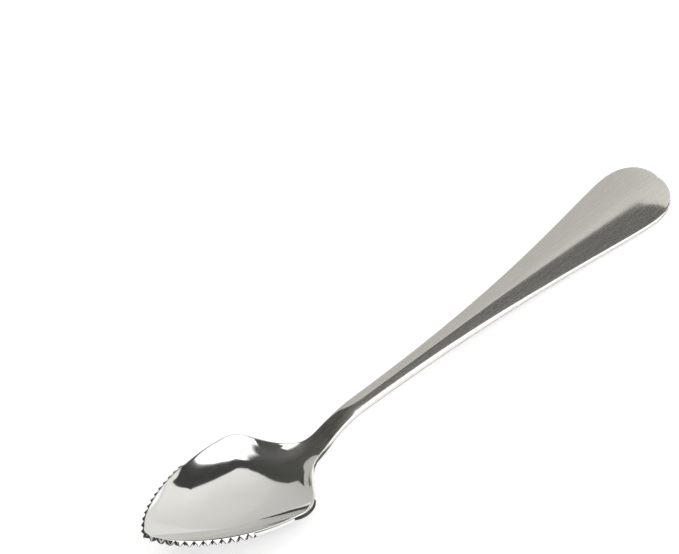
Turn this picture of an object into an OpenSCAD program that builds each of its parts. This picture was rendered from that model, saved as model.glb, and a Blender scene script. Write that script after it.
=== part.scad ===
// Grapefruit spoon: one pressed steel spoon with a saw-toothed bowl, lying at rest on its bowl
// and on the end of its handle. The tip of the bowl points to -X, the handle runs to +X.

/* [Bowl] */
// Length of the bowl along its rim, from the tip to the root of the neck
bowl_len = 47.8; // [42:0.2:54]
// Greatest width of the bowl over its rim
bowl_w = 29; // [24:0.5:34]
// Distance along the rim from the tip to the widest place
widest_at = 32.6; // [28:0.2:35]
// Half width that rounds the tip: larger is blunter
tip_round = 5.3; // [4:0.1:8]
// Inside depth below the rim, at the deepest place
bowl_depth = 6.5; // [6:0.1:8]
// Thickness of the pressed wall
bowl_wall = 1.3; // [0.9:0.1:1.8]
// Dip of the rim between its two ends, seen from the side
rim_dip = 0.2; // [0:0.1:1]
// Angle at which the rim climbs towards the tip when the spoon lies at rest
bowl_pitch = 19; // [15:0.5:21]

/* [Teeth] */
// Number of teeth round the front of the rim, with one on the tip
tooth_count = 25; // [15:2:27]
// Distance from tooth to tooth along the rim
tooth_pitch = 1.96; // [1.6:0.02:2.3]
// Depth of the notches on the inner face of the wall
tooth_depth = 0.15; // [0:0.05:0.6]
// Depth of the notches on the outer face of the wall
tooth_foot = 1.1; // [0.5:0.05:1.4]

/* [Neck] */
// Width where the neck leaves the bowl
root_w = 4.9; // [4.5:0.1:6.5]
// Thickness where the neck leaves the bowl
root_t = 1.7; // [1.5:0.1:2.2]
// Width of the narrowest place
neck_w = 4.2; // [3.6:0.1:5]
// Thickness of the narrowest place
neck_t = 3.3; // [2.6:0.1:4]
// Distance from the root to the narrowest place
neck_run = 13.1; // [10:0.1:16]
// Rise of the middle of the neck from the root to the narrowest place
neck_lift = 3.1; // [2:0.1:5]

/* [Handle] */
// Length from the root of the neck to the end of the handle
handle_len = 106.4; // [90:0.2:130]
// Greatest width, near the end
tail_w = 17.7; // [14:0.1:22]
// Distance from the widest place to the end
tail_run = 9.3; // [7:0.1:14]
// Thickness in the middle of the handle's end
tail_t = 2.2; // [1.6:0.1:3]
// Thickness left at the edges of the handle
edge_t = 1.2; // [0.8:0.1:1.5]

/* [Rest] */
// Depth of metal worn away where the spoon stands on the table
rest_wear = 0.12; // [0.05:0.01:0.2]

/* [Hidden] */

// Counts of the meshes: steps of each tooth flank, plain rim, root line, rings, sections
flank_steps = 2;
plain_steps = 22;
root_steps = 6;
halvings = 16;
neck_sections = 14;
blade_sections = 30;
tail_sections = 12;
crown_points = 10;

// The bowl in plan: its length and the place of its widest point along the table
bowl_run = bowl_len * cos(bowl_pitch);
widest_x = widest_at * cos(bowl_pitch);
half_w = bowl_w / 2;
root_half = root_w / 2;

// Shares that shape the bowl: handles of the outline curves, deepest place, roundness of the floor
tip_handle_share = 0.5;
shoulder_out_share = 0.61;
shoulder_in_share = 0.43;
root_flare_share = 1.95;
deepest_share = 0.38;
tip_power = 1.65;
heel_power = 2.3;
side_power = 2.33;
lip_share = 0.62;
heel_start_share = 0.8;
tip_gap_share = 0.97;

// Shares that shape the handle: handles of the outline curves and the crown of each face
neck_handle_share = 0.5;
blade_start_share = 0.6;
blade_end_share = 0.1;
quarter_round_share = 0.62;
top_crown_share = 0.62;
crown_fade_share = 0.5;
neck_slope_share = 1.33;
blade_fall_share = 1.83;

// Smallest sizes that the sums use: a width that is never nothing and a step for slopes
tiny = bowl_wall / 1000;
probe = bowl_wall / 50;

// A point on a cubic curve with two handles
function curve(a, b, c, d, t) =
    a * pow(1 - t, 3) + b * 3 * pow(1 - t, 2) * t + c * 3 * (1 - t) * t * t + d * t * t * t;

// A rise from 0 to 1 that is level at both ends
function ease(t) = let (u = max(0, min(1, t))) u * u * (3 - 2 * u);

// Height between two places, with a slope at each
function rise(t, run, from, to, slope_from, slope_to) =
    from * (1 + 2 * t) * pow(1 - t, 2) + to * t * t * (3 - 2 * t)
    + slope_from * run * t * pow(1 - t, 2) - slope_to * run * t * t * (1 - t);

function unit(v) = v / norm(v);

// Half of the bowl's outline in plan: front stretch from the tip, then the shoulder to the root
function front(t) = curve(
    [0, 0], [0, tip_round], [widest_x * tip_handle_share, half_w], [widest_x, half_w], t);
shoulder_run = bowl_run - widest_x;
function shoulder(t) = curve(
    [widest_x, half_w], [widest_x + shoulder_run * shoulder_out_share, half_w],
    [widest_x + shoulder_run * shoulder_in_share, root_half * root_flare_share],
    [bowl_run, root_half], t);

// Length of the front stretch, measured in fine steps, and the place at a given length along it
measure_steps = 120;
front_points = [for (i = [0 : measure_steps]) front(i / measure_steps)];
front_sums = [
    for (i = 0, s = 0; i <= measure_steps;
        i = i + 1, s = i > measure_steps ? s : s + norm(front_points[i] - front_points[i - 1])) s];
function front_at(s, i = 1) =
    i >= measure_steps || front_sums[i] >= s
    ? (i - 1 + (s - front_sums[i - 1]) / (front_sums[i] - front_sums[i - 1])) / measure_steps
    : front_at(s, i + 1);

// Rim of one side: [x, y, notch on the inner face, notch on the outer face] from the tip on
flank = tooth_pitch / 2 / flank_steps;
half_teeth = min(
    (tooth_count - 1) * tooth_pitch / 2, front_sums[measure_steps] * tip_gap_share);
toothed_steps = floor(half_teeth / flank);
function notch_at(i) = abs((i % (2 * flank_steps)) - (flank_steps)) / flank_steps;
function rim_place(i) =
    let (t = front_at(i * flank), p = front(t), away = 1 - notch_at(i))
    [p.x, p.y, tooth_depth * away, tooth_foot * away];
last_t = front_at(toothed_steps * flank);
plain_front_steps = plain_steps / 2;
side_rim = concat(
    [for (i = [0 : toothed_steps]) rim_place(i)],
    [for (i = [1 : plain_front_steps])
        let (p = front(last_t + (1 - last_t) * i / plain_front_steps)) [p.x, p.y, 0, 0]],
    [for (i = [1 : plain_steps]) let (p = shoulder(i / plain_steps)) [p.x, p.y, 0, 0]]);
side_count = len(side_rim);

// The whole rim: near side from the root to the tip, far side back, then across the root
rim = concat(
    [for (i = [side_count - 1 : -1 : 1]) let (p = side_rim[i]) [p.x, -p.y, p[2], p[3]]],
    side_rim,
    [for (i = [1 : root_steps - 1]) [bowl_run, root_half * (1 - 2 * i / root_steps), 0, 0]]);
rim_count = len(rim);

// Half width of the bowl in plan at a distance x from the tip, found by halving
function half_at(x) =
    x <= widest_x
    ? front(solve(x, 0, 1, true, halvings)).y
    : shoulder(solve(x, 0, 1, false, halvings)).y;
function solve(x, low, high, in_front, left) =
    let (mid = (low + high) / 2, p = in_front ? front(mid) : shoulder(mid))
    left == 0 ? mid
    : p.x < x ? solve(x, mid, high, in_front, left - 1)
    : solve(x, low, mid, in_front, left - 1);

// Inner face of the wall, measured from the rim at the root: a climb, less the dip and the hollow
deepest_x = bowl_run * deepest_share;
function hollow(x, y) =
    let (
        along = x < deepest_x ? 1 - x / deepest_x : (x - deepest_x) / (bowl_run - deepest_x),
        power = x < deepest_x ? tip_power : heel_power,
        across = min(1, abs(y) / max(half_at(x), tiny)))
    bowl_depth * (1 - pow(max(0, min(1, along)), power)) * (1 - pow(across, side_power));
function rim_climb(x) =
    let (s = x / bowl_run) (bowl_run - x) * tan(bowl_pitch) - rim_dip * 4 * s * (1 - s);
function face_h(x, y) = rim_climb(x) - hollow(x, y);

// Direction through the wall, from the inner to the outer face; straight down at the root
function heel(x) = ease((x / bowl_run - heel_start_share) / (1 - heel_start_share));
function through(x, y) =
    let (
        keep = 1 - heel(x),
        slope_x = (face_h(x + probe, y) - face_h(x - probe, y)) / (2 * probe),
        slope_y = (face_h(x, y + probe) - face_h(x, y - probe)) / (2 * probe))
    unit([slope_x * keep, slope_y * keep, -1]);
function wall_at(x) = bowl_wall + (root_t - bowl_wall) * heel(x);

// Plan normal of the rim, pointing out; none across the root, which stays a flat cut
function rim_normal(i) =
    let (a = rim[(i + rim_count - 1) % rim_count], b = rim[(i + 1) % rim_count])
    rim[i].x >= bowl_run ? [0, 0] : unit([a.y - b.y, b.x - a.x]);

// Plan place on the wall: r is 0 at the deepest place and 1 on the rim, where the notch bites
lip = bowl_wall * lip_share;
function place(i, r, notch) =
    let (
        p = rim[i],
        inset = min(lip * (1 - heel(p.x)), p.x / 2 + lip / 2),
        edge = [p.x, p.y] - rim_normal(i) * (inset + (r < 1 ? 0 : notch)))
    [deepest_x, 0] * (1 - r) + edge * r;
function inner_low(i, r) = let (q = place(i, r, rim[i][2])) [q.x, q.y, face_h(q.x, q.y)];
function outer_low(i, r) =
    let (q = place(i, r, rim[i][3]))
    [q.x, q.y, face_h(q.x, q.y)] + through(q.x, q.y) * wall_at(q.x);

// The underside's lowest level sets how high the root stands, less the metal worn away
ring_share = [0.16, 0.31, 0.45, 0.58, 0.7, 0.8, 0.89, 1];
rings = len(ring_share);
function lowest(i) = min([for (r = ring_share) outer_low(i, r).z]);
middle_of_root = rim_count - root_steps / 2;
root_top = -lowest(middle_of_root) - rest_wear;
root_h = root_top - root_t / 2;
function inner(i, r) = inner_low(i, r) + [0, 0, root_top];
function outer(i, r) =
    let (p = outer_low(i, r)) [p.x, p.y, max(p.z + root_top, table)];

// The origin is in the middle of the length, on the table
table = 0;
bowl_front = outer(side_count - 1, 1).x;
mid_x = (bowl_front + bowl_run + handle_len) / 2;

module bowl() {
    in_points = [for (k = [0 : rings - 1]) for (i = [0 : rim_count - 1]) inner(i, ring_share[k])];
    out_points = [for (k = [0 : rings - 1]) for (i = [0 : rim_count - 1]) outer(i, ring_share[k])];
    half = rings * rim_count;
    points = concat(in_points, out_points, [inner(0, 0)], [outer(0, 0)]);
    in_mid = 2 * half;
    out_mid = in_mid + 1;
    faces = concat(
        [for (i = [0 : rim_count - 1]) let (j = (i + 1) % rim_count) [in_mid, i, j]],
        [for (i = [0 : rim_count - 1]) let (j = (i + 1) % rim_count) [out_mid, half + j, half + i]],
        [for (k = [0 : rings - 2]) for (i = [0 : rim_count - 1])
            let (j = (i + 1) % rim_count, a = k * rim_count, b = a + rim_count)
            each [[a + i, b + i, b + j], [a + i, b + j, a + j]]],
        [for (k = [0 : rings - 2]) for (i = [0 : rim_count - 1])
            let (j = (i + 1) % rim_count, a = half + k * rim_count, b = a + rim_count)
            each [[a + i, b + j, b + i], [a + i, a + j, b + j]]],
        [for (i = [0 : rim_count - 1])
            let (j = (i + 1) % rim_count, a = half - rim_count, b = 2 * half - rim_count)
            each [[a + i, b + i, b + j], [a + i, b + j, a + j]]]);
    color("gainsboro")
        translate([-mid_x, 0, 0])
            polyhedron(points = points, faces = faces);
}

// Half outline of the handle in plan, measured from the root
neck_half = neck_w / 2;
tail_half = tail_w / 2;
widest_run = handle_len - tail_run;
function neck_edge(t) = curve(
    [0, root_half], [neck_run * neck_handle_share, root_half - (root_half - neck_half) * neck_handle_share],
    [neck_run * (1 - neck_handle_share), neck_half], [neck_run, neck_half], t);
blade_run = widest_run - neck_run;
function blade_edge(t) = curve(
    [neck_run, neck_half], [neck_run + blade_run * blade_start_share, neck_half],
    [widest_run - blade_run * blade_end_share, tail_half], [widest_run, tail_half], t);
function tail_edge(t) = curve(
    [widest_run, tail_half], [widest_run + tail_run * quarter_round_share, tail_half],
    [handle_len, tail_half * quarter_round_share], [handle_len, 0], t);

// The outline stops just short of the end, where the last section is still a narrow strip
tail_stop_share = 0.94;
stations = concat(
    [for (i = [0 : neck_sections]) neck_edge(i / neck_sections)],
    [for (i = [1 : blade_sections]) blade_edge(i / blade_sections)],
    [for (i = [1 : tail_sections]) tail_edge(sin(90 * i / tail_sections) * tail_stop_share)]);

// Height of the middle and thickness along the handle
neck_h = root_h + neck_lift;
neck_slope = neck_lift / neck_run * neck_slope_share;
tail_h = tail_t / 2;
blade_slope = (tail_h - neck_h) / (handle_len - neck_run) * blade_fall_share;
function middle_h(x) =
    x < neck_run
    ? rise(x / neck_run, neck_run, root_h, neck_h, neck_slope, blade_slope)
    : rise((x - neck_run) / (handle_len - neck_run), handle_len - neck_run, neck_h, tail_h,
        blade_slope, 0);
function thick(x) =
    x < neck_run
    ? root_t + (neck_t - root_t) * ease(x / neck_run)
    : neck_t + (tail_t - neck_t) * ease((x - neck_run) / (widest_run - neck_run));

// One cross section: a flat strip at the root that turns into a crowned bar with blunt edges
function section(p) =
    let (
        x = p.x,
        w = p.y,
        t = thick(x),
        round_share = ease(x / (neck_run * crown_fade_share)),
        edge = t + (edge_t - t) * round_share,
        crown = t - edge,
        z = middle_h(x) - t / 2,
        low = z + crown * (1 - top_crown_share))
    concat(
        [for (k = [0 : crown_points]) let (v = cos(180 * k / crown_points))
            [x, w * v, low + edge + crown * top_crown_share * (1 - v * v)]],
        [for (k = [0 : crown_points]) let (v = cos(180 * k / crown_points))
            [x, -w * v, max(low - crown * (1 - top_crown_share) * (1 - v * v), table)]]);

module handle() {
    ring = 2 * (crown_points + 1);
    count = len(stations);
    points = [for (p = stations) each section(p)];
    faces = concat(
        [for (k = [0 : crown_points - 1]) [k, k + 1, ring - 2 - k, ring - 1 - k]],
        [for (k = [0 : crown_points - 1])
            let (a = (count - 1) * ring) [a + ring - 1 - k, a + ring - 2 - k, a + k + 1, a + k]],
        [for (s = [0 : count - 2]) for (k = [0 : ring - 1])
            let (j = (k + 1) % ring, a = s * ring, b = a + ring)
            each [[a + k, b + j, a + j], [a + k, b + k, b + j]]]);
    color("silver")
        translate([bowl_run - mid_x, 0, 0])
            polyhedron(points = points, faces = faces);
}

bowl();
handle();
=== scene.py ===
import math

import bpy
import numpy as np
from mathutils import Matrix, Vector


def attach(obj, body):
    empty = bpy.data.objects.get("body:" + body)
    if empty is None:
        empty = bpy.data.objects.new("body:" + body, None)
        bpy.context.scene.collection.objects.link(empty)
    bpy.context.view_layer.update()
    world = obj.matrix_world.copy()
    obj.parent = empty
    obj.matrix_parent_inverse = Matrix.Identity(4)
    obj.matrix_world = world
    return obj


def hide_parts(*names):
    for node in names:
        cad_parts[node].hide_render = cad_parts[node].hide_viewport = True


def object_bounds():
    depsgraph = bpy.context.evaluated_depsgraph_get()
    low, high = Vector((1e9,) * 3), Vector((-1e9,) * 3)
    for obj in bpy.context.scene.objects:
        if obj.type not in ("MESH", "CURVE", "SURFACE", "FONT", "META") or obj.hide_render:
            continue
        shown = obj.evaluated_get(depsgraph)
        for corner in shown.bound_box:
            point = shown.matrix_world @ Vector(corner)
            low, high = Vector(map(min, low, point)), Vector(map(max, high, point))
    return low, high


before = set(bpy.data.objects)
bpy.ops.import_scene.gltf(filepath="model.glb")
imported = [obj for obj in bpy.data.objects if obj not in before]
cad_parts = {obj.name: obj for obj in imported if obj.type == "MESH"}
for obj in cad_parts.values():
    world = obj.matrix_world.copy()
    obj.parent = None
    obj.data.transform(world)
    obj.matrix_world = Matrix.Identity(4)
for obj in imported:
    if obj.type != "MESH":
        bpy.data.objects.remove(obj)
solid_low, solid_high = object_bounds()


# Bowl
# The front of the one-piece spoon: a pointed bowl pressed from sheet steel and mirror polished.
# Its front rim is cut into twenty-five saw teeth, and its heel thickens into the neck.
bowl_length = 47.8
bowl_width = 29.0
widest_from_tip = 32.6
tip_roundness = 5.3
bowl_depth = 6.5
wall = 1.3
rim_dip = 0.2
rim_climb_angle = math.radians(19.0)
root_width = 4.9
root_thickness = 1.7
worn_away = 0.12
tooth_count = 25
tooth_pitch = 1.96

bowl_run = bowl_length * math.cos(rim_climb_angle)
widest_x = widest_from_tip * math.cos(rim_climb_angle)
deepest_share = 0.38
deepest_x = bowl_run * deepest_share
heel_start = 0.8

# The neck and handle, which the rim line and the outline run on into
neck_width = 4.2
neck_thickness = 3.3
neck_run = 13.1
neck_lift = 3.1
handle_length = 106.4
tail_width = 17.7
tail_run = 9.3
tail_thickness = 2.55
edge_thickness = 1.2
tail_edge = 0.95
spoon_end = bowl_run + handle_length

# How far the curves of the outline are pulled, as shares of a run or of a half width
front_pull = 0.5
shoulder_out_pull = 0.61
shoulder_in_pull = 0.43
root_flare = 1.95
neck_pull = 0.5
blade_start_pull = 0.6
blade_end_pull = 0.1
round_pull = 0.62


def ease(t):
    u = np.clip(t, 0.0, 1.0)
    return u * u * (3.0 - 2.0 * u)


def bezier(a, b, c, d, t):
    t = np.asarray(t, float)[:, None]
    a, b, c, d = (np.array(p, float) for p in (a, b, c, d))
    return a * (1 - t) ** 3 + 3 * b * (1 - t) ** 2 * t + 3 * c * (1 - t) * t * t + d * t ** 3


def rise(t, run, start, end, slope_start, slope_end):
    return (
        start * (1 + 2 * t) * (1 - t) ** 2
        + end * t * t * (3 - 2 * t)
        + slope_start * run * t * (1 - t) ** 2
        - slope_end * run * t * t * (1 - t)
    )


def bowl_front(t):
    half = bowl_width / 2
    return bezier((0, 0), (0, tip_roundness), (widest_x * front_pull, half), (widest_x, half), t)


def bowl_shoulder(t):
    run = bowl_run - widest_x
    return bezier(
        (widest_x, bowl_width / 2),
        (widest_x + run * shoulder_out_pull, bowl_width / 2),
        (widest_x + run * shoulder_in_pull, root_width / 2 * root_flare),
        (bowl_run, root_width / 2),
        t,
    )


def neck_side(t):
    wide, narrow = root_width / 2, neck_width / 2
    pulled = neck_run * neck_pull
    return bezier(
        (0, wide), (pulled, (wide + narrow) / 2), (pulled, narrow), (neck_run, narrow), t
    ) + np.array([bowl_run, 0.0])


def blade_side(t):
    run = handle_length - tail_run - neck_run
    return bezier(
        (neck_run, neck_width / 2),
        (neck_run + run * blade_start_pull, neck_width / 2),
        (handle_length - tail_run - run * blade_end_pull, tail_width / 2),
        (handle_length - tail_run, tail_width / 2),
        t,
    ) + np.array([bowl_run, 0.0])


def tail_side(t):
    start = handle_length - tail_run
    return bezier(
        (start, tail_width / 2),
        (start + tail_run * round_pull, tail_width / 2),
        (handle_length, tail_width / 2 * round_pull),
        (handle_length, 0),
        t,
    ) + np.array([bowl_run, 0.0])


# The half outline in plan, rounded where the shoulder runs into the neck
outline_steps = 1200
fine = np.linspace(0.0, 1.0, outline_steps)
half_outline = np.vstack(
    [
        bowl_front(fine),
        bowl_shoulder(fine)[1:],
        neck_side(fine)[1:],
        blade_side(fine)[1:],
        tail_side(fine)[1:],
    ]
)
station_step = 0.05
station = np.arange(0.0, spoon_end + station_step, station_step)
outline_blur = 1.4
blurred_before_root = 9.0
blurred_after_root = 12.0
blur_fade = 4.0


def rounded(values, spread):
    """A table of heights or widths, with its corners rounded over a spread in millimetres."""
    count = int(spread * 3 / station_step)
    weight = np.exp(-0.5 * (np.arange(-count, count + 1) * station_step / spread) ** 2)
    padded = np.concatenate(
        [
            2 * values[0] - values[count:0:-1],
            values,
            2 * values[-1] - values[-2 : -count - 2 : -1],
        ]
    )
    return np.convolve(padded, weight / weight.sum(), mode="valid")


sharp_half = np.interp(station, half_outline[:, 0], half_outline[:, 1])
near_root = ease((station - bowl_run + blurred_before_root) / blur_fade)
near_root = near_root * ease((bowl_run + blurred_after_root - station) / blur_fade)
half_table = sharp_half + (rounded(sharp_half, outline_blur) - sharp_half) * near_root


def half_width(x):
    return np.interp(x, station, half_table)


# Height of the rim and of the handle's upper edge along the spoon, then the middle's height over it
toward_tip_power = 1.65
toward_heel_power = 2.3
neck_slope_share = 1.33
blade_slope_share = 1.83


def heel(x):
    return ease((x / bowl_run - heel_start) / (1 - heel_start))


def bowl_wall(x):
    return wall + (root_thickness - wall) * heel(x)


def hollow(x):
    ahead = np.clip(1 - x / deepest_x, 0, 1) ** toward_tip_power
    behind = np.clip((x - deepest_x) / (bowl_run - deepest_x), 0, 3) ** toward_heel_power
    return bowl_depth * (1 - np.where(x < deepest_x, ahead, behind))


def rim_line(x):
    s = x / bowl_run
    return (bowl_run - x) * math.tan(rim_climb_angle) - rim_dip * 4 * s * (1 - s)


def bottom_under(x):
    step = 0.01
    before, after = (rim_line(place) - hollow(place) for place in (x - step, x + step))
    slope = (after - before) / (2 * step) * (1 - heel(x))
    return rim_line(x) - hollow(x) - bowl_wall(x) / np.sqrt(1 + slope * slope)


# The lowest place under the bowl is looked for between these shares of its length
sought_from, sought_to, sought_steps = 0.3, 0.995, 900
along_bowl = np.linspace(sought_from, sought_to, sought_steps) * bowl_run
root_top = -bottom_under(along_bowl).min() - worn_away
root_middle = root_top - root_thickness / 2
neck_middle = root_middle + neck_lift
neck_slope = neck_lift / neck_run * neck_slope_share
blade_fall = tail_thickness / 2 - neck_middle
blade_slope = blade_fall / (handle_length - neck_run) * blade_slope_share


def handle_middle(x):
    u = x - bowl_run
    on_neck = rise(u / neck_run, neck_run, root_middle, neck_middle, neck_slope, blade_slope)
    run = handle_length - neck_run
    on_blade = rise((u - neck_run) / run, run, neck_middle, tail_thickness / 2, blade_slope, 0.0)
    before = root_middle + neck_slope * u
    return np.where(u < 0, before, np.where(u < neck_run, on_neck, on_blade))


def to_tail(x):
    return ease((x - bowl_run - neck_run) / (handle_length - tail_run - neck_run))


def handle_thickness(x):
    u = x - bowl_run
    widest = handle_length - tail_run
    on_neck = root_thickness + (neck_thickness - root_thickness) * ease(u / neck_run)
    thinning = ease((u - neck_run) / (widest - neck_run))
    on_blade = neck_thickness + (tail_thickness - neck_thickness) * thinning
    return np.where(u < neck_run, on_neck, on_blade)


def handle_edge(x):
    share = ease((x - bowl_run) / (neck_run / 2))
    full = handle_thickness(x)
    thinned = edge_thickness + (tail_edge - edge_thickness) * to_tail(x)
    return full + (thinned - full) * share


# The share of the crown that stands on the top, and how much of it the neck lacks
top_share_at_neck = 0.42
top_share_gained = 0.2
flat_share_at_neck = 0.16
# The bowl's lines run on into the handle's over a stretch round the root
blend_before_root = 5.5
blend_run = 11.0
line_blur = 0.8
blurred_from = 30.0
blurred_fade = 6.0

thickness = handle_thickness(station)
edge = handle_edge(station)
crown = thickness - edge
top_crown = top_share_at_neck + top_share_gained * to_tail(station)
handle_line = handle_middle(station) - thickness / 2 + crown * (1 - top_crown) + edge
flattened = flat_share_at_neck * crown * (1 - to_tail(station))
run_on = ease((station - bowl_run + blend_before_root) / blend_run)
edge_table = (rim_line(station) + root_top) * (1 - run_on) + handle_line * run_on
middle_table = -hollow(station) * (1 - run_on) + (crown * top_crown - flattened) * run_on
edge_table = rounded(edge_table, line_blur)
blurred = ease((station - blurred_from) / blurred_fade)
middle_table = middle_table + (rounded(middle_table, line_blur) - middle_table) * blurred
side_table = np.where(station < bowl_run, bowl_wall(station), edge)
full_table = np.where(station < bowl_run, bowl_wall(station), thickness - flattened)
crown_width = np.where(station < spoon_end - tail_run, half_table, tail_width / 2)


# Powers of the cross sections: how round or how ridged the crown is, and how full the bowl is
round_power = 2.0
ridged_by = 0.65
ridge_start = 6.0
ridge_run = 8.0
tail_power_gain = 0.35
tail_end_power = 0.4
bowl_section_power = 2.33
section_blend = 8.0


def along(table, x):
    return np.interp(x, station, table)


# No width falls to nothing, so the shares across it stay finite
least_width = 1e-3


def crown_part(x, y):
    """Share of the crown at a place: 1 on the middle line of the blade, near 0 at its edges."""
    w = np.maximum(along(half_table, x), least_width)
    wide = np.maximum(along(crown_width, x), least_width)
    ridged = ridged_by * ease((x - bowl_run - ridge_start) / ridge_run)
    power = round_power - ridged + tail_power_gain * to_tail(x)
    end_part = (np.minimum(w / wide, 1.0) ** tail_end_power) ** power
    return end_part - (np.minimum(np.abs(y), w) / wide) ** power


def top_height(x, y):
    w = np.maximum(along(half_table, x), least_width)
    across = np.clip(np.abs(y) / w, 0, 1)
    in_bowl = 1 - across ** bowl_section_power
    on_handle = crown_part(x, y)
    share = ease((x - bowl_run + section_blend) / section_blend)
    section = in_bowl * (1 - share) + on_handle * share
    return along(edge_table, x) + along(middle_table, x) * section


def top_point(x, y):
    return np.stack([x, y, top_height(x, y)], -1)


def slopes(height, x, y, step=0.02):
    along_x = (height(x + step, y) - height(x - step, y)) / (2 * step)
    along_y = (height(x, y + step) - height(x, y - step)) / (2 * step)
    return along_x, along_y


def under_point(x, y):
    keep = 1 - heel(x)
    sx, sy = slopes(top_height, x, y)
    sx, sy = sx * keep, sy * keep
    length = np.sqrt(sx * sx + sy * sy + 1)
    on_handle = crown_part(x, y)
    thick = along(side_table, x) + (along(full_table, x) - along(side_table, x)) * on_handle
    z = top_height(x, y) - thick / length
    return np.stack([x + thick * sx / length, y + thick * sy / length, np.maximum(z, 0.0)], -1)


def surface_normal(point, x, y, up, step=0.02):
    a = point(x + step, y) - point(x - step, y)
    b = point(x, y + step) - point(x, y - step)
    n = np.cross(a, b)
    n /= np.linalg.norm(n, axis=-1, keepdims=True) + 1e-12
    return n if up else -n


# Places round the rim on the +Y side, from the tooth on the tip to the root of the neck. Each half
# tooth has eight places, and the last tooth runs out over one more half.
lengths = np.concatenate([[0], np.cumsum(np.linalg.norm(np.diff(half_outline, axis=0), axis=1))])
root_place = int(np.argmin(np.abs(half_outline[:, 0] - bowl_run)))
root_length = lengths[root_place]
toothed = (tooth_count - 1) * tooth_pitch / 2
half_tooth = np.array([0.0, 0.05, 0.12, 0.3, 0.5, 0.7, 0.88, 0.95])
half_pitches = np.arange(tooth_count - 1)
tooth_places = (half_pitches[:, None] + half_tooth).ravel() * tooth_pitch / 2
run_out = toothed + np.array([0.0, 0.06, 0.12, 0.3, 0.5, 0.7, 0.88, 0.94]) * tooth_pitch / 2
plain_steps = 72
plain_rim = np.linspace(toothed + tooth_pitch / 2, root_length, plain_steps)
plain_places = np.concatenate([run_out, plain_rim])
rim_places = np.concatenate([tooth_places, plain_places])
land_limits = (0.035, 0.965)
shoulder_land = 0.85
straight_run = 4.5 * tooth_pitch
shoulder_run = 5.5


def tooth_land(s):
    """Where the cut edge stands in the wall: 0 on its inner face, 1 on its outer face."""
    phase = np.abs(((s / tooth_pitch) % 1.0) * 2 - 1)
    after = 1 - (s - toothed) / (tooth_pitch / 2)
    cut = np.clip(np.where(s < toothed, phase, after), *land_limits)
    return np.maximum(cut, shoulder_land * ease((s - toothed - straight_run) / shoulder_run))


tip_zone = 1.0
lip_share = 0.62
plan = np.stack([np.interp(rim_places, lengths, half_outline[:, k]) for k in (0, 1)], -1)
plan[:, 1] = np.where(plan[:, 0] > tip_zone, half_width(plan[:, 0]), plan[:, 1])
forward = np.gradient(plan, rim_places, axis=0)
outward = np.stack([-forward[:, 1], forward[:, 0]], -1)
outward /= np.linalg.norm(outward, axis=1, keepdims=True)
outward[0] = (-1.0, 0.0)
lip_inset = wall * lip_share
inset = np.minimum(lip_inset * (1 - heel(plan[:, 0])), plan[:, 0] / 2 + lip_inset / 2)
lip = plan - outward * inset[:, None]
land = tooth_land(rim_places)

# How far the polish has rounded the edges
softness = 0.12
plain_softness = 0.4
root_fade = 5.0
lip_round = 0.09
plain_lip_round = 0.22
land_round = 0.3
plain_share = ease((rim_places - toothed) / (tooth_pitch / 2))[:, None]
before_root = ease((root_length - rim_places) / root_fade)[:, None]
lip_softness = softness + plain_softness * plain_share * before_root
inner_lip = lip - outward * lip_softness
rim_inner = top_point(lip[:, 0], lip[:, 1])
rim_outer = under_point(lip[:, 0], lip[:, 1])
rim_land = rim_inner + (rim_outer - rim_inner) * land[:, None]

# The foot of the cut edge lies straight below its land, on the outer face
widest_shift = 1.7
halvings = 24
shift_low = np.zeros(len(lip))
shift_high = np.full(len(lip), widest_shift)
for _ in range(halvings):
    shift = (shift_low + shift_high) / 2
    foot_plan = lip - outward * shift[:, None]
    reached = under_point(foot_plan[:, 0], foot_plan[:, 1])[:, :2]
    beyond = ((reached - rim_land[:, :2]) * outward).sum(axis=1) > 0
    shift_low = np.where(beyond, shift, shift_low)
    shift_high = np.where(beyond, shift_high, shift)
foot_plan[-1] = lip[-1]
rim_foot = under_point(foot_plan[:, 0], foot_plan[:, 1])
outer_lip = foot_plan - outward * softness
rim_first = top_point(inner_lip[:, 0], inner_lip[:, 1])
rim_last = under_point(outer_lip[:, 0], outer_lip[:, 1])


longest_cut = 0.42


def band(points, softs):
    """Rows of points across an edge, with three on the curve that rounds each of its corners."""
    rows = [points[0]]
    for k, soft in zip(range(1, len(points) - 1), softs):
        before, here, after = points[k - 1], points[k], points[k + 1]
        back = before - here
        on = after - here
        back_size = np.linalg.norm(back, axis=-1, keepdims=True) + 1e-9
        on_size = np.linalg.norm(on, axis=-1, keepdims=True) + 1e-9
        a = here + back / back_size * np.minimum(soft, back_size * longest_cut)
        b = here + on / on_size * np.minimum(soft, on_size * longest_cut)
        middle = a * 0.25 + here * 0.5 + b * 0.25
        rows += [a, middle, b]
    rows.append(points[-1])
    return np.stack(rows, 1)


rim_land = rim_land * (1 - plain_share) + (rim_inner + rim_foot) / 2 * plain_share
rim_softs = (lip_round + plain_lip_round * plain_share, land_round, land_round)
rim_band = band([rim_first, rim_inner, rim_land, rim_foot, rim_last], rim_softs)

# The faces of the bowl are rings that grow from its deepest place to the lip
mirror = np.array([1.0, -1.0, 1.0])
cross_steps = 20
inner_rings, inner_reach, inner_power = 30, 0.86, 0.9
inner_shares = np.linspace(0.0, inner_reach, inner_rings)[1:] ** inner_power
ring_shares = np.concatenate([inner_shares, [0.9, 0.93, 0.955, 0.975, 0.99, 1.0]])
teeth_followed_from = 0.9
teeth_followed_over = 0.1


def whole_loop(side):
    """Near side from the root to the tip, far side back, then across the root."""
    near = side[::-1][:-1] * mirror[: side.shape[-1]]
    across = np.linspace(1, -1, cross_steps + 1)[1:-1, None] * side[-1][None, :]
    across[:, 0] = side[-1][0]
    return np.vstack([near, side, across])


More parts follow.
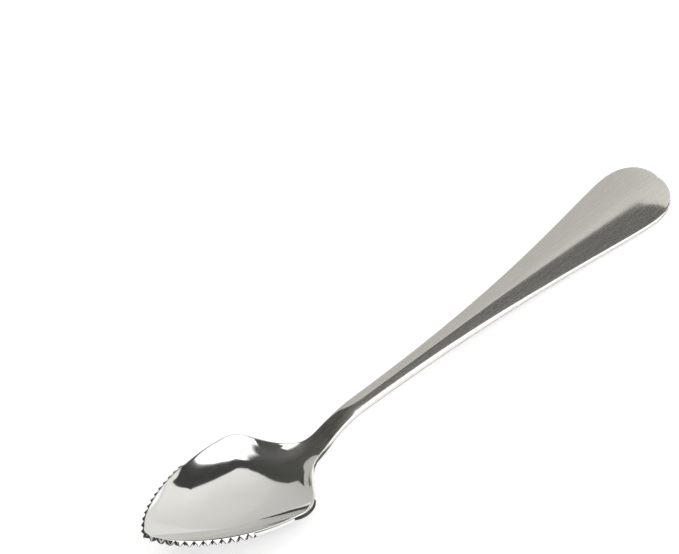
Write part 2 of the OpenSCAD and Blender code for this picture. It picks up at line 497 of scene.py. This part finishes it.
def face_rings(side, plain_side, point):
    edge_loop = whole_loop(side)
    plain_loop = whole_loop(plain_side)
    rings = []
    for share in ring_shares:
        follow = ease((share - teeth_followed_from) / teeth_followed_over)
        loop = plain_loop * (1 - follow) + edge_loop * follow
        rings.append(np.array([deepest_x, 0.0]) * (1 - share) + loop * share)
    plan_points = np.stack(rings)
    return plan_points, point(plan_points[..., 0], plan_points[..., 1])


# At the root the lips end on the flat cut where the handle begins
for loop in (inner_lip, outer_lip, foot_plan, lip):
    loop[-1, 0] = bowl_run
plain_outer = lip - outward * softness
plain_outer[-1, 0] = bowl_run
inner_plan, inner_points = face_rings(inner_lip, inner_lip, top_point)
outer_plan, outer_points = face_rings(outer_lip, plain_outer, under_point)
inner_normals = surface_normal(top_point, inner_plan[..., 0], inner_plan[..., 1], True)
outer_normals = surface_normal(under_point, outer_plan[..., 0], outer_plan[..., 1], False)


def make_piece(name, points, faces, known_normals):
    """A mesh in metres. Normals that are known are kept, and the rest follow the larger faces."""
    place = np.array([-middle_of_length, 0.0, 0.0])
    co = (points + place) / 1000.0
    mesh = bpy.data.meshes.new(name)
    faces = [face[::-1] for face in faces]
    mesh.from_pydata([tuple(p) for p in co], [], faces)
    mesh.update()
    total = np.zeros_like(points)
    for face in faces:
        if len(face) > 4:
            continue
        ids = np.array(face)
        p = points[ids]
        if len(face) == 4:
            total[ids] += np.cross(p[2] - p[0], p[-1] - p[1])
        else:
            total[ids] += np.cross(p[1] - p[0], p[2] - p[0])
    total /= np.linalg.norm(total, axis=1, keepdims=True) + 1e-15
    known = ~np.isnan(known_normals[:, 0])
    total[known] = known_normals[known]
    mesh.polygons.foreach_set("use_smooth", [len(f) <= 4 for f in faces])
    mesh.normals_split_custom_set_from_vertices([tuple(n) for n in total])
    piece = bpy.data.objects.new(name, mesh)
    bpy.context.scene.collection.objects.link(piece)
    return piece


loop_count = inner_points.shape[1]
ring_count = len(ring_shares)
band_count = rim_band.shape[1]
band_near = rim_band[::-1][:-1] * mirror
band_loop = np.concatenate([band_near, rim_band])
tooth_loop = band_loop.shape[0]

front_of_spoon = min(inner_points[..., 0].min(), band_loop[..., 0].min())
middle_of_length = (solid_high.x - solid_low.x) * 1000 / 2 + front_of_spoon

bowl_points = [top_point(np.array([deepest_x]), np.array([0.0]))]
bowl_points.append(inner_points.reshape(-1, 3))
bowl_points.append(band_loop[:, 1:-1].reshape(-1, 3))
bowl_points.append(outer_points.reshape(-1, 3))
bowl_points.append(under_point(np.array([deepest_x]), np.array([0.0])))
inner_start = 1
band_start = inner_start + ring_count * loop_count
outer_start = band_start + tooth_loop * (band_count - 2)
under_centre = outer_start + ring_count * loop_count
bowl_points = np.vstack(bowl_points)


def inner_id(ring, i):
    return inner_start + ring * loop_count + i % loop_count


def outer_id(ring, i):
    return outer_start + ring * loop_count + i % loop_count


def band_id(i, k):
    if k == 0:
        return inner_id(ring_count - 1, i)
    if k == band_count - 1:
        return outer_id(ring_count - 1, i)
    return band_start + i * (band_count - 2) + k - 1


bowl_faces = []
for i in range(loop_count):
    bowl_faces.append((0, inner_id(0, i), inner_id(0, i + 1)))
    bowl_faces.append((under_centre, outer_id(0, i + 1), outer_id(0, i)))
    for ring in range(ring_count - 1):
        around = [(ring, i), (ring + 1, i), (ring + 1, i + 1), (ring, i + 1)]
        around_back = around[:1] + around[:0:-1]
        bowl_faces.append(tuple(inner_id(*corner) for corner in around))
        bowl_faces.append(tuple(outer_id(*corner) for corner in around_back))
for i in range(tooth_loop - 1):
    for k in range(band_count - 1):
        corners = (band_id(i, k), band_id(i, k + 1), band_id(i + 1, k + 1), band_id(i + 1, k))
        bowl_faces.append(corners)
last = tooth_loop - 1
cut_face = [band_id(last, k) for k in range(band_count)]
cut_face += [outer_id(ring_count - 1, last + i) for i in range(1, cross_steps)]
cut_face += [band_id(0, k) for k in range(band_count - 1, -1, -1)]
cut_face += [inner_id(ring_count - 1, last + i) for i in range(cross_steps - 1, 0, -1)]
bowl_faces.append(tuple(cut_face))

bowl_normals = np.full_like(bowl_points, np.nan)
pole = np.array([deepest_x])
bowl_normals[0] = surface_normal(top_point, pole, pole * 0, True)[0]
bowl_normals[inner_start:band_start] = inner_normals.reshape(-1, 3)
bowl_normals[outer_start:under_centre] = outer_normals.reshape(-1, 3)
bowl_normals[under_centre] = surface_normal(under_point, pole, pole * 0, False)[0]
bowl = make_piece("spoon_bowl", bowl_points, bowl_faces, bowl_normals)


# The steel is mirror polished in the bowl and satin brushed along the neck and handle, and the
# brushing starts in the heel of the bowl. Its coordinates are millimetres from the middle.
def add_node(tree, kind, **settings):
    made = tree.nodes.new(kind)
    for key, value in settings.items():
        setattr(made, key, value)
    return made


def link(tree, source, target):
    tree.links.new(source, target)


def math_node(tree, operation, first, second):
    made = add_node(tree, "ShaderNodeMath", operation=operation)
    for slot, value in enumerate((first, second)):
        if isinstance(value, (int, float)):
            made.inputs[slot].default_value = value
        else:
            link(tree, value, made.inputs[slot])
    return made.outputs[0]


def map_range(tree, value, low, high, to_low, to_high):
    made = add_node(tree, "ShaderNodeMapRange", interpolation_type="SMOOTHSTEP")
    link(tree, value, made.inputs["Value"])
    made.inputs["From Min"].default_value = low
    made.inputs["From Max"].default_value = high
    made.inputs["To Min"].default_value = to_low
    made.inputs["To Max"].default_value = to_high
    return made.outputs["Result"]


def stretched_noise(tree, coords, scale, turn=0.0, detail=3.0):
    mapping = add_node(tree, "ShaderNodeMapping")
    mapping.inputs["Rotation"].default_value = (0, 0, turn)
    mapping.inputs["Scale"].default_value = scale
    link(tree, coords, mapping.inputs["Vector"])
    noise = add_node(tree, "ShaderNodeTexNoise")
    noise.inputs["Scale"].default_value = 1.0
    noise.inputs["Detail"].default_value = detail
    link(tree, mapping.outputs[0], noise.inputs["Vector"])
    return noise.outputs["Fac"]


steel = bpy.data.materials.new("stainless_steel")
steel.use_nodes = True
tree = steel.node_tree
shader = tree.nodes["Principled BSDF"]
place = add_node(tree, "ShaderNodeTexCoord")
in_mm = add_node(tree, "ShaderNodeMapping")
in_mm.inputs["Scale"].default_value = (1000, 1000, 1000)
link(tree, place.outputs["Object"], in_mm.inputs["Vector"])
parts = add_node(tree, "ShaderNodeSeparateXYZ")
link(tree, in_mm.outputs[0], parts.inputs[0])
coords = in_mm.outputs[0]

satin_start, satin_full = -46.0, -28.0
scratch_low, scratch_high = 0.66, 0.78
# How often each pattern changes in a millimetre along, across and through the steel
grain_scale = (0.12, 7.0, 1.0)
cloud_scale = (0.09, 0.14, 0.14)
scratch_one_scale, scratch_one_turn = (0.35, 18.0, 2.0), 0.6
scratch_two_scale, scratch_two_turn = (0.3, 15.0, 2.0), -0.9
satin = map_range(tree, parts.outputs["X"], satin_start, satin_full, 0.0, 1.0)
grain = stretched_noise(tree, coords, grain_scale, detail=4.0)
cloud = stretched_noise(tree, coords, cloud_scale)
scratch_one = stretched_noise(tree, coords, scratch_one_scale, scratch_one_turn, detail=1.0)
scratch_two = stretched_noise(tree, coords, scratch_two_scale, scratch_two_turn, detail=1.0)
scratches = math_node(tree, "MAXIMUM", scratch_one, scratch_two)
scratches = map_range(tree, scratches, scratch_low, scratch_high, 0.0, 1.0)

cloud_low, cloud_high = 0.35, 0.7
tone = add_node(tree, "ShaderNodeMix", data_type="RGBA")
link(tree, map_range(tree, cloud, cloud_low, cloud_high, 0.0, 1.0), tone.inputs["Factor"])
tone.inputs["A"].default_value = (0.81, 0.81, 0.795, 1)
tone.inputs["B"].default_value = (0.78, 0.78, 0.77, 1)

scratch_depth = 0.1
relief = math_node(tree, "MULTIPLY", grain, satin)
scratched = math_node(tree, "MULTIPLY", scratches, scratch_depth)
relief = math_node(tree, "SUBTRACT", relief, scratched)
bump = add_node(tree, "ShaderNodeBump")
bump.inputs["Strength"].default_value = 0.04
bump.inputs["Distance"].default_value = 0.00002
link(tree, relief, bump.inputs["Height"])

# The polish keeps a clear reflection, and the brushed hairs lay a haze over it
polish_roughness = 0.05
satin_roughness = 0.01
worn_roughness = 0.015
worn_from = 0.4
scratch_roughness = 0.05
roughness = math_node(tree, "MULTIPLY", satin, satin_roughness)
roughness = math_node(tree, "ADD", roughness, polish_roughness)
worn = map_range(tree, cloud, worn_from, cloud_high, 0.0, 1.0)
worn = math_node(tree, "MULTIPLY", worn, worn_roughness)
worn = math_node(tree, "ADD", worn, math_node(tree, "MULTIPLY", scratches, scratch_roughness))
roughness = math_node(tree, "ADD", roughness, worn)
warm = add_node(tree, "ShaderNodeMix", data_type="RGBA")
link(tree, satin, warm.inputs["Factor"])
link(tree, tone.outputs["Result"], warm.inputs["A"])
warm.inputs["B"].default_value = (0.81, 0.795, 0.75, 1)
dulled = add_node(tree, "ShaderNodeMix", data_type="RGBA")
dulled.inputs["Factor"].default_value = 0.25
link(tree, warm.outputs["Result"], dulled.inputs["A"])
dulled.inputs["B"].default_value = (0.08, 0.08, 0.08, 1)
grain_low, grain_high = 0.3, 0.7
haze_smooth, haze_rough = 0.5, 0.62
haze_roughness = map_range(tree, grain, grain_low, grain_high, haze_smooth, haze_rough)
haze = add_node(tree, "ShaderNodeBsdfPrincipled")
for lobe, spread, colour in ((shader, roughness, warm), (haze, haze_roughness, dulled)):
    link(tree, spread, lobe.inputs["Roughness"])
    link(tree, colour.outputs["Result"], lobe.inputs["Base Color"])
    link(tree, bump.outputs[0], lobe.inputs["Normal"])
    lobe.inputs["Metallic"].default_value = 1.0
scratch_haze = 0.05
least_haze, most_haze = 0.25, 0.35
brushed = map_range(tree, grain, grain_low, grain_high, least_haze, most_haze)
brushed = math_node(tree, "MULTIPLY", satin, brushed)
brushed = math_node(tree, "ADD", brushed, math_node(tree, "MULTIPLY", scratches, scratch_haze))
both = add_node(tree, "ShaderNodeMixShader")
link(tree, brushed, both.inputs[0])
link(tree, shader.outputs[0], both.inputs[1])
link(tree, haze.outputs[0], both.inputs[2])
link(tree, both.outputs[0], tree.nodes["Material Output"].inputs["Surface"])
bowl.data.materials.append(steel)
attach(bowl, "root")
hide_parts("bowl")


# Handle
# The rest of the same piece of steel: a thick narrow neck that flattens into a crowned bar and
# widens to a round tail. Its faces have a fine satin along the length.
neck_steps, blade_steps, tail_steps = 60, 240, 70
last_of_tail = 0.985
neck_places = neck_side(np.linspace(0, 1, neck_steps))
blade_places = blade_side(np.linspace(0, 1, blade_steps))[1:]
tail_turn = np.linspace(0, 1, tail_steps)[1:] * math.pi / 2
tail_places = tail_side(np.sin(tail_turn) * last_of_tail)
edge_plan = np.vstack([neck_places, blade_places, tail_places])
rounded_run = 14.0
rounded_until = bowl_run + rounded_run
on_rounded = edge_plan[:, 0] < rounded_until
edge_plan[:, 1] = np.where(on_rounded, half_width(edge_plan[:, 0]), edge_plan[:, 1])
edge_forward = np.gradient(edge_plan, axis=0)
edge_outward = np.stack([-edge_forward[:, 1], edge_forward[:, 0]], -1)
edge_outward /= np.linalg.norm(edge_outward, axis=1, keepdims=True)
edge_outward *= np.sign(edge_outward[:, 1:2] + 1e-9)
blade_softness = 0.6
tail_softness_gain = 0.15
softness_fade = 6.0
corner_share = 0.8
narrowest = 0.02
past_root = ease((edge_plan[:, 0] - bowl_run) / softness_fade)
added_softness = blade_softness + tail_softness_gain * to_tail(edge_plan[:, 0])
edge_softness = softness + added_softness * past_root
crown_plan = edge_plan - edge_outward * edge_softness[:, None]
crown_plan[0] = inner_lip[-1]
crown_plan[:, 1] = np.maximum(crown_plan[:, 1], narrowest)


def edge_point(x, y, share):
    """A point on the handle's upright edge: share 0 at its top, 1 at its foot."""
    top = top_point(x, y)
    side = along(side_table, x)
    side = side + (along(full_table, x) - side) * crown_part(x, y)
    top[:, 2] = top[:, 2] - side * share
    top[:, 2] = np.maximum(top[:, 2], 0.0)
    return top


side_x, side_y = edge_plan[:, 0], edge_plan[:, 1]
handle_band = band(
    [
        top_point(crown_plan[:, 0], crown_plan[:, 1]),
        edge_point(side_x, side_y, 0.0),
        edge_point(side_x, side_y, 0.5),
        edge_point(side_x, side_y, 1.0),
        under_point(crown_plan[:, 0], crown_plan[:, 1]),
    ],
    [edge_softness[:, None] * corner_share] * 3,
)
handle_band[0] = rim_band[-1]
cross_share = np.linspace(1, -1, cross_steps + 1)
handle_rows = []
handle_row_normals = []
for section in range(len(edge_plan)):
    x = np.full(cross_steps - 1, crown_plan[section, 0])
    y = cross_share[1:-1] * crown_plan[section, 1]
    top = top_point(x, y)
    under = under_point(x, y)
    right = handle_band[section]
    left = right[::-1] * mirror
    row = np.vstack([right[::-1], top, left[::-1], under[::-1]])
    edge_normals = np.full((band_count, 3), np.nan)
    xe = np.full(1, crown_plan[section, 0])
    ye = np.full(1, crown_plan[section, 1])
    edge_normals[0] = surface_normal(top_point, xe, ye, True)[0]
    edge_normals[-1] = surface_normal(under_point, xe, ye, False)[0]
    normals = np.vstack(
        [
            edge_normals[::-1],
            surface_normal(top_point, x, y, True),
            edge_normals * mirror,
            surface_normal(under_point, x, y, False)[::-1],
        ]
    )
    handle_rows.append(row)
    handle_row_normals.append(normals)
row_count = len(handle_rows[0])
handle_points = np.vstack(handle_rows)
handle_normals = np.vstack(handle_row_normals)
handle_faces = [tuple(range(row_count))]
for section in range(len(handle_rows) - 1):
    for k in range(row_count):
        a = section * row_count + k
        b = section * row_count + (k + 1) % row_count
        handle_faces.append((a, a + row_count, b + row_count, b))
end = (len(handle_rows) - 1) * row_count
handle_faces.append(tuple(range(end + row_count - 1, end - 1, -1)))
handle = make_piece("spoon_handle", handle_points, handle_faces, handle_normals)
handle.data.materials.append(steel)
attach(handle, "root")
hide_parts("handle")


# Table
# A plain white sheet that the spoon lies on. It isn't part of the object.
table_mesh = bpy.data.meshes.new("table")
reach = 3.0
table_corners = [(-reach, -reach, 0), (reach, -reach, 0), (reach, reach, 0), (-reach, reach, 0)]
table_mesh.from_pydata(table_corners, [], [(0, 1, 2, 3)])
table = bpy.data.objects.new("table", table_mesh)
bpy.context.scene.collection.objects.link(table)
paper = bpy.data.materials.new("white_sheet")
paper.use_nodes = True
tree = paper.node_tree
shader = tree.nodes["Principled BSDF"]
shader.inputs["Base Color"].default_value = (0.76, 0.76, 0.76, 1)
shader.inputs["Roughness"].default_value = 1.0
shader.inputs["Specular IOR Level"].default_value = 0.0
shader.inputs["Emission Color"].default_value = (1, 1, 1, 1)
rays = add_node(tree, "ShaderNodeLightPath")
seen = math_node(tree, "MAXIMUM", rays.outputs["Is Camera Ray"], rays.outputs["Is Glossy Ray"])
seen = math_node(tree, "MAXIMUM", seen, rays.outputs["Is Transmission Ray"])
lift_to_white = 0.5
link(tree, math_node(tree, "MULTIPLY", seen, lift_to_white), shader.inputs["Emission Strength"])
table.data.materials.append(paper)

# Only reflections see three mats on the sheet, and each paints a reflection into the steel: a dark
# one round the front of the bowl, a painted dark reflection where the steel's edges show it, a
# narrow dark one close under the spoon's near side, a painted shadow, and a pale glowing one on the
# far side, a painted reflection like the paper that the bowl mirrors
mat_height = 0.0001
dark_reflection_grey = (0.06, 0.06, 0.05)
shade_grey = (0.05, 0.05, 0.05)
pale_reflection_glow = 0.8


def mat(name, corners, colour, glow=0.0):
    mesh = bpy.data.meshes.new(name)
    mesh.from_pydata([(x, y, mat_height) for x, y in corners], [], [tuple(range(len(corners)))])
    made = bpy.data.objects.new(name, mesh)
    bpy.context.scene.collection.objects.link(made)
    cloth = bpy.data.materials.new(name)
    cloth.use_nodes = True
    shader = cloth.node_tree.nodes["Principled BSDF"]
    shader.inputs["Base Color"].default_value = (*colour, 1)
    shader.inputs["Roughness"].default_value = 1.0
    shader.inputs["Emission Color"].default_value = (1, 0.99, 0.96, 1)
    shader.inputs["Emission Strength"].default_value = glow
    mesh.materials.append(cloth)
    # Neither the camera nor diffuse light nor shadows see the mat, so it shows only as a painted
    # reflection in the steel
    made.visible_camera = False
    made.visible_diffuse = False
    made.visible_shadow = False


# A dark sheet that paints dark reflections into the edges round the front of the bowl
dark_reflection_corners = [(-0.4, -0.4), (-0.028, -0.4), (-0.028, -0.0075), (-0.04, -0.0155)]
dark_reflection_corners += [(-0.0425, -0.0195), (-0.055, -0.019), (-0.082, -0.003), (-0.07, 0.012)]
dark_reflection_corners += [(-0.052, 0.014), (-0.028, 0.008), (-0.028, 0.022)]
dark_reflection_corners += [(-0.05, 0.024), (-0.05, 0.4), (-0.4, 0.4)]
mat("dark_reflection_mat", dark_reflection_corners, dark_reflection_grey)
# Painted shadow: close under the spoon no light comes in between steel and table, and a dark sheet
# there paints that shade into the steel's reflections
shade_start, shade_end, shade_steps = -58.0, 74.0, 60
shade_places = np.linspace(shade_start, shade_end, shade_steps)
reach_places = [-58, -50, -44, -36, -28, -15, 20, 50, 68, 74]
reaches = [0, 0.2, 0.7, 0.6, 1, 1.8, 1.1, 0.6, 0.5, 0.5]
shade_reach = np.interp(shade_places, reach_places, reaches)
under_edge = -half_width(shade_places + middle_of_length) - shade_reach
painted_shadow_corners = [(x / 1000, y / 1000) for x, y in zip(shade_places, under_edge)]
painted_shadow_corners += [(shade_end / 1000, 0.0), (shade_start / 1000, 0.0)]
mat("painted_under_shadow", painted_shadow_corners, shade_grey)
# A pale sheet that glows though it is no lamp: a painted reflection of lit paper, seen only in the
# steel
pale_reflection_corners = [(-0.05, 0.024), (-0.028, 0.022), (-0.028, 0.008), (0.08, 0.012)]
pale_reflection_corners += [(0.08, -0.005), (2.9, -0.9), (2.9, 2.9), (-0.05, 2.9)]
mat("pale_reflection_mat", pale_reflection_corners, shade_grey, pale_reflection_glow)


# Light
# A dark studio with a large pale card beyond the handle, a low strip of card at each side, and a
# bright softbox on the near side. The camera doesn't see them, and the steel reflects them.
bowl_middle = np.array([-0.053, 0.0, 0.005])


def panel(name, place_at, shade_at, columns, rows, distance):
    """A curved card, placed by azimuth and elevation as seen from the bowl."""
    points, shades = [], []
    for j in range(rows + 1):
        for i in range(columns + 1):
            azimuth, elevation = place_at(i / columns, j / rows)
            shades.append(shade_at(azimuth, elevation))
            a, e = math.radians(azimuth), math.radians(elevation)
            way = np.array([math.cos(a) * math.cos(e), math.sin(a) * math.cos(e), math.sin(e)])
            points.append(tuple(bowl_middle + way * distance))
    faces = []
    for j in range(rows):
        for i in range(columns):
            a = j * (columns + 1) + i
            faces.append((a, a + 1, a + columns + 2, a + columns + 1))
    mesh = bpy.data.meshes.new(name)
    mesh.from_pydata(points, [], faces)
    glow = mesh.attributes.new("glow", "FLOAT_COLOR", "POINT")
    glow.data.foreach_set("color", [v for shade in shades for v in (*shade, 1.0)])
    made = bpy.data.objects.new(name, mesh)
    bpy.context.scene.collection.objects.link(made)
    made.visible_camera = False
    paint = bpy.data.materials.new(name)
    paint.use_nodes = True
    tree = paint.node_tree
    tree.nodes.clear()
    reading = add_node(tree, "ShaderNodeAttribute", attribute_name="glow")
    emission = add_node(tree, "ShaderNodeEmission")
    output = add_node(tree, "ShaderNodeOutputMaterial")
    link(tree, reading.outputs["Color"], emission.inputs["Color"])
    link(tree, emission.outputs[0], output.inputs["Surface"])
    mesh.materials.append(paint)


far_away = 10.0
foot = -2
card_left, card_sweep, card_power = -25, 130, 1.5
card_azimuths = [-25, -24, -23, -22, -21, -20.5, -18.5, -16, -13.7, -11.7, -9.5, -7.5, -3, 2, 8]
card_azimuths += [19, 31, 42, 49, 53, 59, 64, 73, 81, 87, 91, 95, 98, 105]
card_tops = [3, 5, 7, 10, 17, 25, 30, 35, 40, 45, 49, 53, 55.5, 57, 59]
card_tops += [59.5, 59, 56, 52.5, 51, 48, 45, 42, 38, 30, 23, 23.5, 20, 4]


def pale_card_place(u, v):
    azimuth = card_left + card_sweep * u ** card_power
    top = float(np.interp(azimuth, card_azimuths, card_tops))
    return azimuth, foot + (top - foot) * v


card_level_azimuths = [-25, -13, 5, 28, 45, 58, 76]
card_levels = [0.96, 0.95, 0.86, 0.79, 0.74, 0.65, 0.61]
brighter_by, brighter_from, brighter_over = 0.08, 46, 8
card_green, card_blue = 0.99, 0.955


def pale_card_shade(azimuth, elevation):
    level = float(np.interp(azimuth, card_level_azimuths, card_levels))
    level = level * (1 + brighter_by * float(ease((elevation - brighter_from) / brighter_over)))
    return level, level * card_green, level * card_blue


panel("pale_card", pale_card_place, pale_card_shade, columns=180, rows=8, distance=far_away)

strip_left, strip_sweep = -45, 20
strip_azimuths = [-45, -31, -28, -26, -25]
strip_tops = [2, 7, 6, 4, 3]


def low_strip_place(u, v):
    azimuth = strip_left + strip_sweep * u
    top = float(np.interp(azimuth, strip_azimuths, strip_tops))
    return azimuth, foot + (top - foot) * v


panel("low_strip", low_strip_place, pale_card_shade, columns=20, rows=2, distance=far_away)

left_strip_start, left_strip_sweep = -168, 50
left_strip_bottom, left_strip_height = 4, 28
left_strip_colour = (0.6, 0.6, 0.59)


def left_strip_place(u, v):
    azimuth = left_strip_start + left_strip_sweep * u
    return azimuth, left_strip_bottom + left_strip_height * v


def left_strip_shade(azimuth, elevation):
    return left_strip_colour


panel("left_strip", left_strip_place, left_strip_shade, columns=10, rows=4, distance=far_away)

softbox_bottom, softbox_height = 9, 67
softbox_heights = [-2, 16, 20, 30, 40, 50, 55, 60, 62, 68, 80]
softbox_rights = [-34, -32, -30.5, -28, -24.5, -18.5, -13.5, -7, -2, 8, 22]
left_heights = [50, 59, 64, 76]
softbox_lefts = [-108, -131, -126, -108]
softbox_level = 1.8
dim_level = 0.09
softbox_distance = 0.38
# It fades out at its top, and on its right side above a height
fade_from, fade_over = 66, 10
side_from, side_over = -30, 30
side_height, side_rise = 58, 5


def softbox_place(u, v):
    elevation = softbox_bottom + softbox_height * v
    right_edge = float(np.interp(elevation, softbox_heights, softbox_rights))
    left_edge = float(np.interp(elevation, left_heights, softbox_lefts))
    return left_edge + (right_edge - left_edge) * u, elevation


def softbox_shade(azimuth, elevation):
    fade = float(ease((elevation - fade_from) / fade_over))
    to_side = float(ease((azimuth - side_from) / side_over))
    side = to_side * float(ease((elevation - side_height) / side_rise))
    level = softbox_level * (1 - max(fade, side)) + dim_level
    return level, level, level


panel(
    "near_softbox",
    softbox_place,
    softbox_shade,
    columns=60,
    rows=60,
    distance=softbox_distance,
)

studio_level = 0.055
studio_gain, studio_gain_from, studio_gain_over = 0.04, 60, 30
studio_blue = 0.93
studio_radius = 12.0


def dark_place(u, v):
    return 360 * u, foot + (90 - foot) * v


def dark_shade(azimuth, elevation):
    gained = float(ease((elevation - studio_gain_from) / studio_gain_over))
    level = studio_level + studio_gain * gained
    return level, level, level * studio_blue


panel("dark_studio", dark_place, dark_shade, columns=48, rows=16, distance=studio_radius)

# One soft lamp from above and a little behind, for the sheet and its shadow
key_behind, key_above = 0.35, 1.05
key_data = bpy.data.lights.new("key", "AREA")
key_data.shape = "SQUARE"
key_data.size = 0.8
key_data.energy = 5.0
key = bpy.data.objects.new("key", key_data)
key.location = (0.0, key_behind, key_above)
key.rotation_euler = (-math.atan2(key_behind, key_above), 0, 0)
key.visible_glossy = False
key.visible_camera = False
bpy.context.scene.collection.objects.link(key)

world = bpy.data.worlds.new("studio")
world.use_nodes = True
world.node_tree.nodes["Background"].inputs[0].default_value = (1, 1, 1, 1)
world.node_tree.nodes["Background"].inputs[1].default_value = 1.0
bpy.context.scene.world = world

# Camera
# It stands on the near side, above the bowl, and looks down along the spoon. Millimetres.
turn = math.radians(-33.17)
tilt = math.radians(53.09)
roll = math.radians(-9.82)
back = Vector((math.sin(turn) * math.cos(tilt), -math.cos(turn) * math.cos(tilt), math.sin(tilt)))
level = Vector((math.cos(turn), math.sin(turn), 0))
upward = back.cross(level)
right = level * math.cos(roll) + upward * math.sin(roll)
over = -level * math.sin(roll) + upward * math.cos(roll)
aimed_along, aimed_above = 76.0, 5.0
aimed_at = Vector((aimed_along - middle_of_length, 0, aimed_above))
shift_left, shift_up = 16.88, 18.05
distance = 700.0
looked_at = aimed_at - right * shift_left + over * shift_up
eye = (looked_at + back * distance) / 1000
camera_data = bpy.data.cameras.new("camera")
camera_data.lens = 166.45
camera_data.sensor_width = 36
camera = bpy.data.objects.new("camera", camera_data)
bpy.context.scene.collection.objects.link(camera)
camera.matrix_world = Matrix(
    (
        (right.x, over.x, back.x, eye.x),
        (right.y, over.y, back.y, eye.y),
        (right.z, over.z, back.z, eye.z),
        (0, 0, 0, 1),
    )
)
bpy.context.scene.camera = camera
bpy.context.scene.view_settings.view_transform = "Standard"
